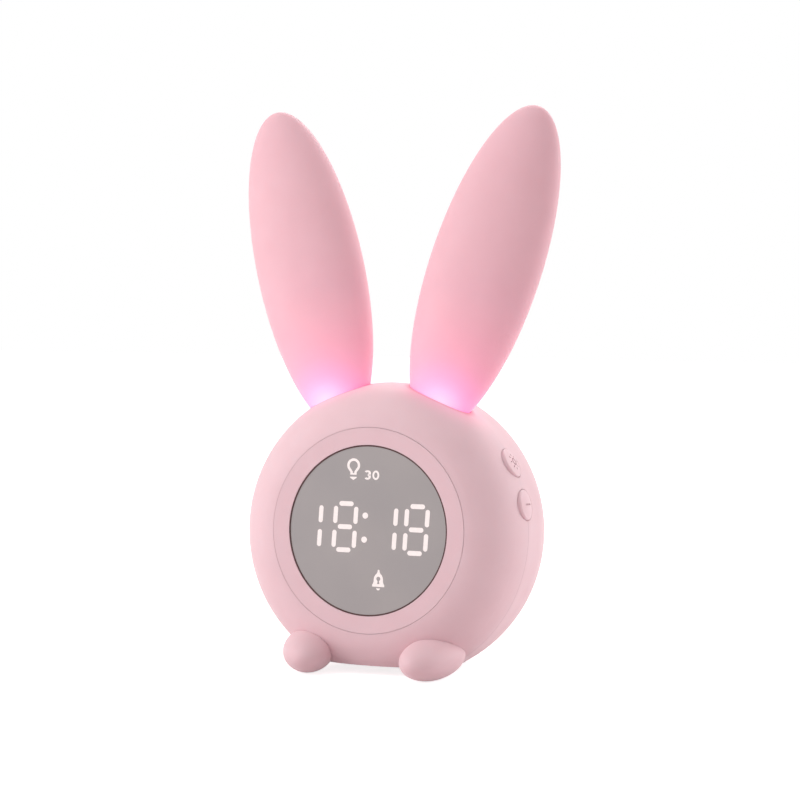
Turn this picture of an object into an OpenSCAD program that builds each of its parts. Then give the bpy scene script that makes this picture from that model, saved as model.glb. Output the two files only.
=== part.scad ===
// Bedside alarm clock for children, with two glowing ears and two front feet.
// Lengths are in millimetres. Every piece is drawn about the centre of the round body, with
// +X to the right, +Y to the rear and +Z up, and the whole clock is then leaned back onto its
// front feet and rear pads. Shapes turned about the body's axis use [radius, depth] sketches.

/* [Body] */
// Radius of the round body
body_r = 53; // [50:0.5:58]
// From the body's centre forward to the flat face
face_depth = 27.5; // [26.5:0.5:30]
// Radius of the rounded shoulder round the face
shoulder_r = 18; // [16:0.5:19.5]
// Radius of the belly between the shoulder and the widest band
belly_r = 28.8; // [27:0.2:32]
// Radius of the long curve of the back
back_r = 39.7; // [38:0.1:42]
// Front edge of the widest band, from the centre
waist_front = 5.5; // [4.5:0.5:6.5]
// Rear edge of the widest band, from the centre
waist_rear = 2.7; // [2:0.1:5]
// Joint between the front and rear shells, from the centre forward
seam_depth = 8.1; // [7.5:0.1:9]
// Wall thickness of the shells
wall = 2.2; // [1.8:0.1:2.6]
// From the body's centre down to the flat underside
underside_depth = 46.9; // [46:0.1:48]
// Angle that the clock leans back
lean = 4.2; // [3.5:0.1:5]

/* [Face] */
// Height of the display's centre above the body's centre
face_rise = 0.7; // [0:0.1:1]
// Outer radius of the ring round the display
ring_r = 36; // [35.5:0.1:37]
// Radius of the clear display disc
lens_r = 29.35; // [28.5:0.05:29.6]
// Width of the dark gasket round the display disc
gasket_w = 0.5; // [0.3:0.05:0.8]
// Thickness of the display disc
lens_t = 1.8; // [1.4:0.1:2.2]
// Depth of the display disc below the ring's face
lens_inset = 0.3; // [0.2:0.1:0.6]
// Height of a digit between the centres of its top and bottom bars
digit_h = 16.2; // [14:0.2:17]
// Width of a digit between the centres of its upright bars
digit_w = 7.7; // [7:0.1:8.2]
// Width of one lit bar
bar_w = 1.75; // [1.4:0.05:2]

/* [Ears] */
// Widest half width of an ear
ear_half_w = 20.6; // [18:0.2:22]
// Thickest half thickness of an ear
ear_half_t = 10.6; // [9:0.2:12]
// Half length of the ear's leaf shape
ear_half_l = 60; // [54:1:66]
// Half width of an ear's neck, where it enters the body
ear_neck_half_w = 9.85; // [9.2:0.05:10.4]
// Sideways place of an ear's foot
ear_x = 19.5; // [19:0.1:21]
// From the body's centre forward to an ear's foot
ear_depth = 10.1; // [9.6:0.1:10.6]
// Angle that an ear spreads outward
ear_out = 16.75; // [15:0.25:18]
// Angle that an ear tips back from the body
ear_back = 3.2; // [2.5:0.1:4.5]
// Wall thickness of the soft ear
ear_wall = 2; // [1.6:0.1:2.4]

/* [Feet] */
// Half width of a foot
foot_half_w = 9.1; // [8.5:0.1:9.8]
// Half length of a foot
foot_half_l = 14.8; // [13:0.2:16]
// Half height of a foot
foot_half_h = 7.45; // [7:0.05:8]
// Sideways place of a foot's centre
foot_x = 23.5; // [22:0.1:25]
// From the body's centre forward to a foot's centre
foot_forward = 21.7; // [20:0.1:23]
// From the body's centre down to a foot's centre
foot_drop = 42.8; // [42:0.1:43.5]
// Angle that a foot's heel turns outward
foot_turn = 17; // [10:1:20]
// Angle that a foot's heel is raised in the body
foot_pitch = 8; // [5:0.5:10]
// From the body's centre down to the table, measured upright
stand_h = 48.6; // [48.5:0.05:49]

/* [Buttons] */
// Radius of a button's cap
button_r = 5.5; // [5.2:0.1:6.2]
// Angle of the upper button above the horizontal
button_upper = 29.2; // [28.8:0.1:30.4]
// Angle of the lower button above the horizontal
button_lower = 12.3; // [11:0.1:12.6]
// Height of a button's crown above the shell at the seam
button_proud = 0.9; // [0.8:0.05:1.5]
// Inward travel of a button
button_travel = 0.6; // [0.4:0.1:0.8]

/* [Hidden] */
$fn = 96;

pink = [0.90, 0.74, 0.77];
ear_pink = [0.97, 0.72, 0.79];
white_plastic = [0.93, 0.93, 0.92];
black_plastic = [0.10, 0.10, 0.11];
lens_grey = [0.62, 0.60, 0.59];
gasket_brown = [0.22, 0.12, 0.11];
board_green = [0.10, 0.38, 0.22];
metal = [0.72, 0.73, 0.75];
gold = [0.80, 0.66, 0.30];

gap = 0.1;            // clearance round a piece that seats in another
soft_gap = 0.3;       // clearance round a soft piece
thread_gap = 0.05;    // clearance round a screw's thread
thread_room = 0.5;    // from a screw's end to the end of its hole
cut = 1;              // how far a cut runs past a face
big = 300;            // larger than the whole clock
pcb_t = 1.6;          // thickness of the boards
seam_y = -seam_depth;
face_y = -face_depth;

// The body's outline is a flat face, a shoulder, a belly, a straight band and a long rear curve.
belly_c = [body_r - belly_r, -waist_front];
shoulder_c = [
    belly_c[0] + sqrt(pow(belly_r - shoulder_r, 2) - pow(face_depth - shoulder_r - waist_front, 2)),
    shoulder_r - face_depth
];
back_c = [body_r - back_r, waist_rear];
back_y = back_c[1] + back_r;
shoulder_end = belly_c[1] + (shoulder_c[1] - belly_c[1]) * belly_r / (belly_r - shoulder_r);

// Radius of the body at a depth y, for the surface that lies `inset` inside the outer one
function radius_at(y, inset) =
    y < shoulder_end ? shoulder_c[0] + sqrt(pow(shoulder_r - inset, 2) - pow(y - shoulder_c[1], 2))
    : y < belly_c[1] ? belly_c[0] + sqrt(pow(belly_r - inset, 2) - pow(y - belly_c[1], 2))
    : y < back_c[1] ? body_r - inset
    : back_c[0] + sqrt(pow(back_r - inset, 2) - pow(y - back_c[1], 2));

// Depth of the rear surface at a radius r, for the surface that lies `inset` inside the outer one
function back_at(r, inset) = back_c[1] + sqrt(pow(back_r - inset, 2) - pow(max(0, r - back_c[0]), 2));

// ---- Stance ---------------------------------------------------------------------------------------------

foot_at = [foot_x, -foot_forward, -foot_drop];
foot_axes = [foot_half_w, foot_half_l, foot_half_h];
foot_long = [sin(foot_turn) * cos(foot_pitch), cos(foot_turn) * cos(foot_pitch), sin(foot_pitch)];
foot_up = [-sin(foot_turn) * sin(foot_pitch), -cos(foot_turn) * sin(foot_pitch), cos(foot_pitch)];
foot_side = [cos(foot_turn), -sin(foot_turn), 0];
rearward = [0, cos(lean), sin(lean)];
foot_reach = norm([
    foot_axes[0] * foot_side * rearward,
    foot_axes[1] * foot_long * rearward,
    foot_axes[2] * foot_up * rearward
]);
front_reach = foot_at * rearward - foot_reach;
rear_reach = back_c * [sin(lean), cos(lean)] + back_r;
centre_y = -(front_reach + rear_reach) / 2;

module in_stance() translate([0, centre_y, stand_h]) rotate([-lean, 0, 0]) children();

module above_table() rotate([lean, 0, 0]) translate([-big / 2, -big / 2, -stand_h]) cube(big);

module both_sides() {
    children();
    mirror([1, 0, 0]) children();
}

module on_side(side) mirror([side < 0 ? 1 : 0, 0, 0]) children();

// Turns a shape drawn up the Z axis so that it points to the rear
module along_depth() rotate([-90, 0, 0]) children();

module rod(r, from, to) translate([0, 0, from]) cylinder(r = r, h = to - from);

module depth_rod(r, x, z, from, to) translate([x, 0, z]) along_depth() rod(r, from, to);

module block(low, high) translate(low) cube(high - low);

// ---- Body ----------------------------------------------------------------------------------------------

module wedge_of_belly() {
    reach = 2 * body_r;
    slope = (shoulder_c - belly_c) / norm(shoulder_c - belly_c);
    polygon([belly_c, belly_c + reach * slope, belly_c + [reach, 0]]);
}

module body_outline(inset) {
    translate([0, face_y + inset]) square([shoulder_c[0], face_depth - waist_front - inset]);
    translate(shoulder_c) circle(r = shoulder_r - inset);
    intersection() {
        translate(belly_c) circle(r = belly_r - inset);
        wedge_of_belly();
    }
    translate([0, -waist_front]) square([body_r - inset, waist_front + waist_rear]);
    translate(back_c) intersection() {
        circle(r = back_r - inset);
        square(back_r);
    }
    translate([0, waist_rear]) square([back_c[0], back_r - inset]);
}

module body_form(inset) difference() {
    along_depth() rotate_extrude() body_outline(inset);
    translate([-big / 2, -big / 2, inset - underside_depth - big]) cube(big);
}

module in_front_half() intersection() {
    children();
    block([-big / 2, -big / 2, -big / 2], [big / 2, seam_y, big / 2]);
}

module in_rear_half() intersection() {
    children();
    block([-big / 2, seam_y, -big / 2], [big / 2, big / 2, big / 2]);
}

module body_skin() difference() {
    body_form(0);
    body_form(wall);
}

module inside_body() intersection() {
    body_form(wall / 2);
    children();
}

// Joint between the shells
lip_t = 0.8;
lip_l = 1.5;
lip_inset = wall - lip_t - gap;

module rim(outer_inset, inner_inset, l) intersection() {
    difference() {
        body_form(outer_inset);
        body_form(inner_inset);
    }
    block([-big / 2, seam_y - l, -big / 2], [big / 2, seam_y, big / 2]);
}

module lip() rim(lip_inset, lip_inset + lip_t, lip_l);

module lip_room() rim(lip_inset - gap, wall + gap, lip_l + gap);

// Screws that join the shells, as [x, z]
top_screw_inset = 15.5;
low_screw_inset = 9.87;
low_screw_angle = 34.6;
top_screw_at = [0, body_r - top_screw_inset];
low_screw_at = (body_r - low_screw_inset) * [cos(low_screw_angle), -sin(low_screw_angle)];
shell_screw_r = 1.25;
shell_screw_head_r = 2.7;
shell_screw_head_h = 2;
shell_screw_seat = 8;
shell_screw_grip = 8;
front_boss_r = 3.5;
rear_boss_r = 4.2;

module at_shell_screws() {
    translate([top_screw_at[0], 0, top_screw_at[1]]) children();
    both_sides() translate([low_screw_at[0], 0, low_screw_at[1]]) children();
}

module shell_screws() color(metal) in_stance() at_shell_screws() along_depth() {
    rod(shell_screw_r, seam_y - shell_screw_grip, shell_screw_seat);
    rod(shell_screw_head_r, shell_screw_seat, shell_screw_seat + shell_screw_head_h);
}

// ---- Face ----------------------------------------------------------------------------------------------

flange_t = 2.1;
flange_w = 3;
ledge_t = 2;
ledge_w = 1.7;
seat_w = 2;
sleeve_r = ring_r - flange_w;
lens_hole_r = lens_r + gasket_w;
lens_front = face_y + lens_inset;
lens_back = lens_front + lens_t;
flange_back = face_y + flange_t;
ledge_back = lens_back + ledge_t;
seat_r = ring_r + seat_w;

module at_face() translate([0, 0, face_rise]) along_depth() children();

module washer(r_in, r_out, from, to) difference() {
    rod(r_out, from, to);
    rod(r_in, from - cut, to + cut);
}

module face_ring() color(pink) in_stance() at_face() rotate_extrude() polygon([
    [lens_hole_r + gap / 2, face_y],
    [ring_r, face_y],
    [ring_r, flange_back],
    [sleeve_r, flange_back],
    [sleeve_r, ledge_back],
    [lens_hole_r - ledge_w, ledge_back],
    [lens_hole_r - ledge_w, lens_back],
    [lens_hole_r + gap / 2, lens_back]
]);

module display_lens() color(lens_grey) in_stance() at_face() rod(lens_r, lens_front, lens_back);

module lens_gasket() color(gasket_brown) in_stance() at_face()
    washer(lens_r, lens_hole_r, lens_front - lens_inset / 3, lens_back);

film_t = 0.3;
film_back = lens_back + film_t;
mask_r = lens_hole_r - ledge_w - gap;
mask_flange_inset = 2.2;
mask_flange_r = sleeve_r - mask_flange_inset;
board_depth = 8.1;
board_front = face_y + board_depth;
board_back = board_front + pcb_t;
display_board_r = ring_r + seat_w;

module diffuser_film() color(white_plastic) in_stance() at_face() rod(mask_r, lens_back, film_back);

// Lit shapes of the display, seen from the front, about its centre
digit_rise = 1;
digit_slant = 2.6;
bar_l = 5.6;
flat_bar_l = 5.4;
one_x = [-17.95, 10.45];
eight_x = [-8.5, 18.35];
colon_x = -1;
colon_z = [5.2, -3.2];
colon_r = 1.55;
icon_places = [[-5.8, 21.3], [1.5, 19.4], [4.7, -17]];
icon_window_r = [3.6, 3, 3.7];

// Centres of the bars of one digit, as [x, z, 1 for upright or 0 for flat]
right_bars = [[digit_w / 2, digit_h / 4, 1], [digit_w / 2, -digit_h / 4, 1]];
other_bars = [
    [-digit_w / 2, digit_h / 4, 1],
    [-digit_w / 2, -digit_h / 4, 1],
    [0, digit_h / 2, 0],
    [0, 0, 0],
    [0, -digit_h / 2, 0]
];

function placed(x, bars) = [for (b = bars) [x + b[0] + b[1] * tan(digit_slant), b[1] + digit_rise, b[2]]];

all_bars = concat(
    placed(one_x[0] - digit_w / 2, right_bars),
    placed(eight_x[0], concat(right_bars, other_bars)),
    placed(one_x[1] - digit_w / 2, right_bars),
    placed(eight_x[1], concat(right_bars, other_bars))
);

module stadium(l, w) {
    square([l - w, w], center = true);
    for (end = [-1, 1]) translate([end * (l - w) / 2, 0]) circle(d = w);
}

// Local Z runs from front to rear here, so a sketch's Y points down the face
module lit_shapes() {
    for (b = all_bars) translate([b[0], -b[1]]) rotate(b[2] == 1 ? 90 + digit_slant : 0)
        stadium(b[2] == 1 ? bar_l : flat_bar_l, bar_w);
    for (z = colon_z) translate([colon_x, -z]) circle(r = colon_r);
    for (i = [0 : 2]) translate([icon_places[i][0], -icon_places[i][1]]) circle(r = icon_window_r[i]);
}

module light_mask() color(black_plastic) in_stance() at_face() difference() {
    union() {
        rod(mask_r, film_back, ledge_back + gap);
        rod(mask_flange_r, ledge_back + gap, board_front);
    }
    translate([0, 0, film_back - cut]) linear_extrude(board_front - film_back + 2 * cut) lit_shapes();
}

led_size = [1.4, 0.9, 0.7];

module display_leds() color(white_plastic) in_stance() at_face() {
    spots = concat(
        all_bars,
        [for (z = colon_z) [colon_x, z, 0]],
        [for (p = icon_places) [p[0], p[1], 0]]
    );
    for (b = spots) translate([b[0], -b[1], board_front - led_size[2]]) rotate(b[2] == 1 ? 90 + digit_slant : 0)
        linear_extrude(led_size[2]) square([led_size[0], led_size[1]], center = true);
}

// Display board on three bosses behind the ring's seat
board_boss_r = 2.6;
board_boss_at = ring_r;
board_screw_r = 1;
board_screw_head_r = 1.9;
board_screw_head_h = 1.4;
board_screw_l = 5;
board_screw_angles = [30, 150, 270];

module at_display_bosses() for (a = board_screw_angles) rotate([0, -a, 0])
    translate([board_boss_at, 0, 0]) along_depth() children();

module display_board() color(board_green) in_stance() difference() {
    along_depth() rod(display_board_r, board_front, board_back);
    at_display_bosses() rod(board_screw_r + gap, board_front - cut, board_back + cut);
    depth_rod(front_boss_r + soft_gap, top_screw_at[0], top_screw_at[1], board_front - cut, board_back + cut);
}

display_screw_end = board_back - board_screw_l;

module display_board_screws() color(metal) in_stance() at_display_bosses() {
    rod(board_screw_r, display_screw_end, board_back);
    rod(board_screw_head_r, board_back, board_back + board_screw_head_h);
}

module face_seat() {
    at_face() rod(seat_r, face_y, ledge_back);
    at_display_bosses() rod(board_boss_r, face_y, board_front);
}

module face_cuts() {
    at_face() rod(ring_r + gap, face_y - cut, flange_back);
    at_face() rod(sleeve_r + gap, face_y - cut, ledge_back + cut);
    at_display_bosses() rod(board_screw_r + thread_gap, display_screw_end - thread_room, board_front + cut);
}

// ---- Ears ----------------------------------------------------------------------------------------------

neck_top = -3.5;
neck_half = [1, ear_half_t / ear_half_w] * ear_neck_half_w;
ear_mid = neck_top + ear_half_l * sqrt(1 - pow(ear_neck_half_w / ear_half_w, 2));
ear_flange_top = -7.5;
ear_flange_t = 2;
ear_flange_bottom = ear_flange_top - ear_flange_t;
ear_flange_half = [neck_half[0] + 2.65, neck_half[1]];
socket_half = ear_flange_half + [2, 1.5];
socket_bottom = -14;
ear_board_half = neck_half - [0.85, 0.65];
ear_board_rest_w = 1.5;
ear_board_t = 1.2;
ear_led_size = [3, 2.4, 1.4];
ear_led_pitch = 4.4;
ear_board_top = ear_flange_bottom - gap;
ear_board_bottom = ear_board_top - ear_board_t;
ear_sink = 0.5;
ear_foot_z = sqrt(pow(body_r, 2) - pow(ear_x, 2)) - wall - ear_sink;
ear_axis = [cos(ear_back) * sin(ear_out), sin(ear_back), cos(ear_back) * cos(ear_out)];

module at_right_ear() translate([ear_x, -ear_depth, ear_foot_z]) rotate([-ear_back, ear_out, 0]) children();

module leaf(extra) translate([0, 0, ear_mid])
    scale([(ear_half_w + extra) / (ear_half_l + extra), (ear_half_t + extra) / (ear_half_l + extra), 1])
        sphere(r = ear_half_l + extra);

module neck(extra, from, to) translate([0, 0, from])
    scale([1, (neck_half[1] + extra) / (neck_half[0] + extra), 1])
        cylinder(r = neck_half[0] + extra, h = to - from);

module plate(half, from, to, extra = 0) block(
    [-half[0] - extra, -half[1] - extra, from],
    [half[0] + extra, half[1] + extra, to]
);

module ear(side) color(ear_pink) in_stance() on_side(side) at_right_ear() difference() {
    union() {
        intersection() {
            leaf(0);
            translate([-big / 2, -big / 2, neck_top]) cube(big);
        }
        neck(0, ear_flange_bottom, neck_top);
        plate(ear_flange_half, ear_flange_bottom, ear_flange_top);
    }
    leaf(-ear_wall);
    neck(-ear_wall, ear_flange_bottom - cut, neck_top + cut);
}

module right_ear() ear(1);
module left_ear() ear(-1);

module ear_socket() both_sides() at_right_ear() plate(socket_half, socket_bottom, body_r);

module ear_cuts() both_sides() at_right_ear() {
    leaf(soft_gap);
    neck(soft_gap, ear_flange_bottom, neck_top + cut);
    plate(ear_flange_half, ear_flange_bottom - soft_gap, ear_flange_top + soft_gap, soft_gap);
    plate(ear_board_half, ear_board_bottom - gap, ear_flange_bottom, gap);
    plate(ear_board_half, socket_bottom - cut, ear_board_bottom, -ear_board_rest_w);
}

module ear_board(side) color(white_plastic) in_stance() on_side(side) at_right_ear()
    plate(ear_board_half, ear_board_bottom, ear_board_top);

module right_ear_board() ear_board(1);
module left_ear_board() ear_board(-1);

module ear_leds(side) color(gold) in_stance() on_side(side) at_right_ear()
    for (i = [-1 : 1]) translate([i * ear_led_pitch, 0, 0])
        plate([ear_led_size[0] / 2, ear_led_size[1] / 2], ear_board_top, ear_board_top + ear_led_size[2]);

module right_ear_leds() ear_leds(1);
module left_ear_leds() ear_leds(-1);

// ---- Feet ----------------------------------------------------------------------------------------------

foot_radius = norm([foot_at[0], foot_at[2]]);
foot_polar = atan2(foot_at[2], foot_at[0]);
peg_tilt = atan2(shoulder_c[1] - foot_at[1], foot_radius - shoulder_c[0]);
peg_r = 2.4;
peg_boss_r = 4.4;
peg_boss_l = 1.2;
peg_end = shoulder_r - wall - peg_boss_l;
peg_sink = 2;
foot_screw_r = 1;
foot_screw_head_r = 3.2;
foot_screw_head_h = 1.6;
foot_screw_room = 0.4;
foot_screw_l = 6;
foot_gap = 0.05;

// Local Z points out of the shoulder towards the foot, with its zero at the shoulder's centre
module at_right_peg() rotate([0, -foot_polar, 0]) translate([shoulder_c[0], shoulder_c[1], 0])
    rotate([0, 90, -peg_tilt]) children();

module foot_form() translate(foot_at) rotate([foot_pitch, 0, -foot_turn])
    scale([foot_half_w / foot_half_l, 1, foot_half_h / foot_half_l]) sphere(r = foot_half_l);

module foot(side) color(pink) in_stance() on_side(side) difference() {
    union() {
        difference() {
            intersection() {
                foot_form();
                above_table();
            }
            body_form(-foot_gap);
        }
        at_right_peg() rod(peg_r, peg_end, shoulder_r + peg_sink);
    }
    at_right_peg() rod(foot_screw_r + thread_gap, peg_end - cut, peg_end + foot_screw_l + thread_room);
}

module right_foot() foot(1);
module left_foot() foot(-1);

module foot_screws() color(metal) in_stance() both_sides() at_right_peg() {
    rod(foot_screw_r, peg_end, peg_end + foot_screw_l);
    rod(foot_screw_head_r, peg_end - foot_screw_head_h, peg_end);
}

module foot_bosses() both_sides() at_right_peg() rod(peg_boss_r, peg_end, shoulder_r);

module foot_cuts() both_sides() at_right_peg() {
    rod(peg_r + gap, peg_end - cut, shoulder_r + cut);
    rod(foot_screw_head_r + foot_screw_room, peg_end - foot_screw_head_h - cut, peg_end);
}

// Rubber pads let into the underside near its rear edge
pad_r = 5;
pad_at = [17, 15];
pad_sink = 0.6;

module rear_pads() color(black_plastic) in_stance() intersection() {
    both_sides() translate([pad_at[0], pad_at[1], 0]) rod(pad_r, -big / 4, pad_sink - underside_depth);
    above_table();
}

module pad_pockets() both_sides() translate([pad_at[0], pad_at[1], 0])
    rod(pad_r + gap, -underside_depth - cut, pad_sink - underside_depth);

// ---- Buttons of the right side -------------------------------------------------------------------------

button_crown = radius_at(seam_y, 0) + button_proud;
button_dome_h = 0.8;
button_dome_r = (pow(button_r, 2) + pow(button_dome_h, 2)) / (2 * button_dome_h);
button_gap = 0.2;
button_flange_w = 0.8;
button_flange_t = 1.2;
button_flange_drop = 0.6;
flange_r = button_r + button_flange_w;
button_flange_top = radius_at(seam_y - flange_r, wall) - button_flange_drop;
stem_r = 1.5;
stem_l = 2.2;
stem_end = button_flange_top - button_flange_t - stem_l;
board_angle = (button_upper + button_lower) / 2;
button_tilt = (button_upper - button_lower) / 2;
plunger_r = 1.5;
plunger_gap = 0.3;
plunger_play = 0.05;
plunger_top = stem_end * cos(button_tilt) - stem_r * sin(button_tilt) - plunger_play;
plunger_proud = 1.2;
plunger_hold = 1;
plunger_l = plunger_proud + plunger_hold;
switch_top = plunger_top - plunger_proud;
switch_size = [6, 6, 3.5];
switch_room = 0.4;
switch_bore = plunger_hold + button_travel + switch_room;
side_board_top = switch_top - switch_size[2];
side_board_half = [13, 7];
rail_grip = 0.6;
rail_half = side_board_half + [2.5, 1.5];
rail_low = 2.2;

// Local Z points outward through a button
module at_button(angle) translate([0, seam_y, 0]) rotate([0, 90 - angle, 0]) children();

module button(angle) color(pink) in_stance() at_button(angle) {
    intersection() {
        rod(button_r, button_flange_top - button_flange_t, button_crown);
        translate([0, 0, button_crown - button_dome_r]) sphere(r = button_dome_r);
    }
    rod(flange_r, button_flange_top - button_flange_t, button_flange_top);
    rod(stem_r, stem_end, button_flange_top);
}

module light_button() button(button_upper);
module minus_button() button(button_lower);

// Place of a switch along its board: the upper button's is negative, because local X points down
function switch_x(angle) = -stem_end * sin(angle - board_angle);

module plunger(angle) color(black_plastic) in_stance() at_button(board_angle)
    translate([switch_x(angle), 0, 0]) rod(plunger_r, plunger_top - plunger_l, plunger_top);

module light_plunger() plunger(button_upper);
module minus_plunger() plunger(button_lower);

module button_switches() color(metal) in_stance() at_button(board_angle)
    for (angle = [button_upper, button_lower]) translate([switch_x(angle), 0, side_board_top]) difference() {
        translate([-switch_size[0] / 2, -switch_size[1] / 2, 0]) cube(switch_size);
        rod(plunger_r + plunger_gap, switch_size[2] - switch_bore, switch_size[2] + cut);
    }

module switch_board() color(board_green) in_stance() at_button(board_angle)
    plate(side_board_half, side_board_top - pcb_t, side_board_top);

module side_rails() at_button(board_angle) for (end = [0, 1]) mirror([end, 0, 0]) block(
    [side_board_half[0] - rail_grip, -rail_half[1], side_board_top - pcb_t - rail_low],
    [rail_half[0], rail_half[1], body_r]
);

module button_cuts() {
    for (angle = [button_upper, button_lower]) at_button(angle) {
        rod(button_r + button_gap, button_flange_top - button_flange_t, 2 * body_r);
        rod(
            flange_r + button_gap,
            button_flange_top - button_flange_t - button_travel - 2 * gap,
            button_flange_top + gap
        );
    }
    at_button(board_angle) plate(side_board_half, side_board_top - pcb_t, side_board_top, gap);
}

// ---- Main board and battery ----------------------------------------------------------------------------

main_board_front = 16;
main_board_back = main_board_front + pcb_t;
main_board_low = [-29, -27];
main_board_high = [29, 25];
main_hole_inset = 3.5;
main_post_r = 2.8;

module at_main_screws() for (x = [main_board_low[0] + main_hole_inset, main_board_high[0] - main_hole_inset])
    for (z = [main_board_low[1] + main_hole_inset, main_board_high[1] - main_hole_inset])
        translate([x, 0, z]) along_depth() children();

module main_board() color(board_green) in_stance() difference() {
    block(
        [main_board_low[0], main_board_front, main_board_low[1]],
        [main_board_high[0], main_board_back, main_board_high[1]]
    );
    at_main_screws() rod(board_screw_r + gap, main_board_front - cut, main_board_back + cut);
}

main_screw_end = main_board_front + board_screw_l;

module main_board_screws() color(metal) in_stance() at_main_screws() {
    rod(board_screw_r, main_board_front, main_screw_end);
    rod(board_screw_head_r, main_board_front - board_screw_head_h, main_board_front);
}

// Chips on the rear of the main board, each with its lower corner and its size as [x, z]
chip_h = 1.4;
chip_corners = [[-13, 4], [4, 14], [-24, -8]];
chip_sizes = [[8, 8], [5, 6], [5, 4]];

module control_chips() color(black_plastic) in_stance() for (i = [0 : len(chip_sizes) - 1])
    translate([chip_corners[i][0], main_board_back, chip_corners[i][1]])
        cube([chip_sizes[i][0], chip_h, chip_sizes[i][1]]);

battery_size = [50, 5.2, 34];
battery_rise = -4;
tape_t = 0.8;
tape_inset = 5;

module battery_block(half_x, from, to, half_z) block(
    [-half_x, from, battery_rise - half_z],
    [half_x, to, battery_rise + half_z]
);

battery_back = main_board_front - tape_t;

module battery_tape() color(white_plastic) in_stance() battery_block(
    battery_size[0] / 2 - tape_inset, battery_back, main_board_front, battery_size[2] / 2 - tape_inset
);

module battery() color(metal) in_stance()
    battery_block(battery_size[0] / 2, battery_back - battery_size[1], battery_back, battery_size[2] / 2);

// Ribbon cable between the display board and the main board
socket_size = [16, 3, 4.6];
ribbon_rise = 19;
ribbon_w = 12;
ribbon_t = 0.7;
ribbon_sink = 1.6;

module board_socket(face, direction) {
    far = face + direction * socket_size[1];
    difference() {
        block(
            [-socket_size[0] / 2, min(face, far), ribbon_rise - socket_size[2] / 2],
            [socket_size[0] / 2, max(face, far), ribbon_rise + socket_size[2] / 2]
        );
        block(
            [-ribbon_w / 2 - gap, min(far - direction * ribbon_sink, far), ribbon_rise - ribbon_t / 2 - gap],
            [ribbon_w / 2 + gap, max(far - direction * ribbon_sink, far), ribbon_rise + ribbon_t / 2 + gap]
        );
    }
}

module display_socket() color(white_plastic) in_stance() board_socket(board_back, 1);

module main_socket() color(white_plastic) in_stance() board_socket(main_board_front, -1);

module ribbon_cable() color(white_plastic) in_stance() block(
    [-ribbon_w / 2, board_back + socket_size[1] - ribbon_sink, ribbon_rise - ribbon_t / 2],
    [ribbon_w / 2, main_board_front - socket_size[1] + ribbon_sink, ribbon_rise + ribbon_t / 2]
);

// Leads, each a bundle of thin wires between two boards
lead_r = 0.9;
bend_r = 1.05 * lead_r;
lead_drop = 5;
ear_lead_inset = [9, 3];
ear_lead_reach = 10;
ear_board_foot = [ear_x, -ear_depth, ear_foot_z] + ear_board_bottom * ear_axis;
ear_lead_at = [main_board_high[0] - ear_lead_inset[0], main_board_high[1] - ear_lead_inset[1]];
ear_lead = [
    [ear_lead_at[0], main_board_front - gap, ear_lead_at[1]],
    [ear_lead_at[0], main_board_front - ear_lead_reach, ear_lead_at[1]],
    ear_board_foot - lead_drop * ear_axis,
    ear_board_foot - gap * ear_axis
];
battery_top = battery_rise + battery_size[2] / 2;
lead_over_battery = 3.5;
battery_lead_inset = 7;
battery_lead_x = battery_lead_inset - battery_size[0] / 2;
battery_lead_z = battery_top + lead_over_battery;
battery_lead = [
    [battery_lead_x, battery_back - battery_size[1] / 2, battery_top + gap],
    [battery_lead_x, battery_back - battery_size[1] / 2, battery_lead_z],
    [battery_lead_x, main_board_front - gap, battery_lead_z]
];
switch_out = [cos(board_angle), 0, sin(board_angle)];
switch_board_foot = [0, seam_y, 0] + (side_board_top - pcb_t) * switch_out;
switch_lead_x = main_board_high[0] - 2;
switch_lead_z = battery_top + lead_over_battery;
switch_lead_reach = 6;
switch_lead = [
    switch_board_foot - gap * switch_out,
    switch_board_foot - lead_drop * switch_out,
    [switch_lead_x, main_board_front - switch_lead_reach, switch_lead_z],
    [switch_lead_x, main_board_front - gap, switch_lead_z]
];

module lead(points) {
    for (i = [0 : len(points) - 2]) {
        step = points[i + 1] - points[i];
        translate(points[i]) rotate([0, acos(step[2] / norm(step)), atan2(step[1], step[0])])
            cylinder(r = lead_r, h = norm(step));
    }
    for (i = [1 : len(points) - 2]) translate(points[i]) sphere(r = bend_r);
}

module ear_leads(side) color(gasket_brown) in_stance() on_side(side) lead(ear_lead);

module right_ear_leads() ear_leads(1);
module left_ear_leads() ear_leads(-1);
module switch_leads() color(gasket_brown) in_stance() lead(switch_lead);
module battery_leads() color(gasket_brown) in_stance() lead(battery_lead);

// ---- Speaker -------------------------------------------------------------------------------------------

speaker_r = 18;
speaker_depth = 4.4;
speaker_front = back_y - speaker_depth;
speaker_flange_t = 1.2;
speaker_flange_w = 2;
speaker_back = speaker_front - speaker_flange_t;
basket_depth = 6;
basket_t = 1;
basket_back = speaker_back - basket_depth;
pole_r = 6;
magnet_r = 10;
magnet_h = 4.5;
speaker_wall_r = speaker_r + 2;
speaker_screw_at = speaker_r + 3.2;
retainer_t = 1;
retainer_back = speaker_back - retainer_t;
speaker_screw_l = 5;
speaker_screw_end = retainer_back + speaker_screw_l;

module speaker_frame() color(metal) in_stance() along_depth() rotate_extrude() polygon([
    [pole_r, basket_back],
    [magnet_r + basket_t, basket_back],
    [speaker_r - speaker_flange_w, speaker_back],
    [speaker_r, speaker_back],
    [speaker_r, speaker_front],
    [speaker_r - speaker_flange_w - basket_t, speaker_front],
    [magnet_r, basket_back + basket_t],
    [pole_r, basket_back + basket_t]
]);

cone_r = speaker_r - speaker_flange_w - basket_t - 4 * gap;
cone_bead_w = 1.3;
cone_bead_h = 0.3;
dome_r = 5;
cone_root_y = basket_back + 2.4;
dome_rise = 1.4;
paper_t = 0.8;

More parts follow.
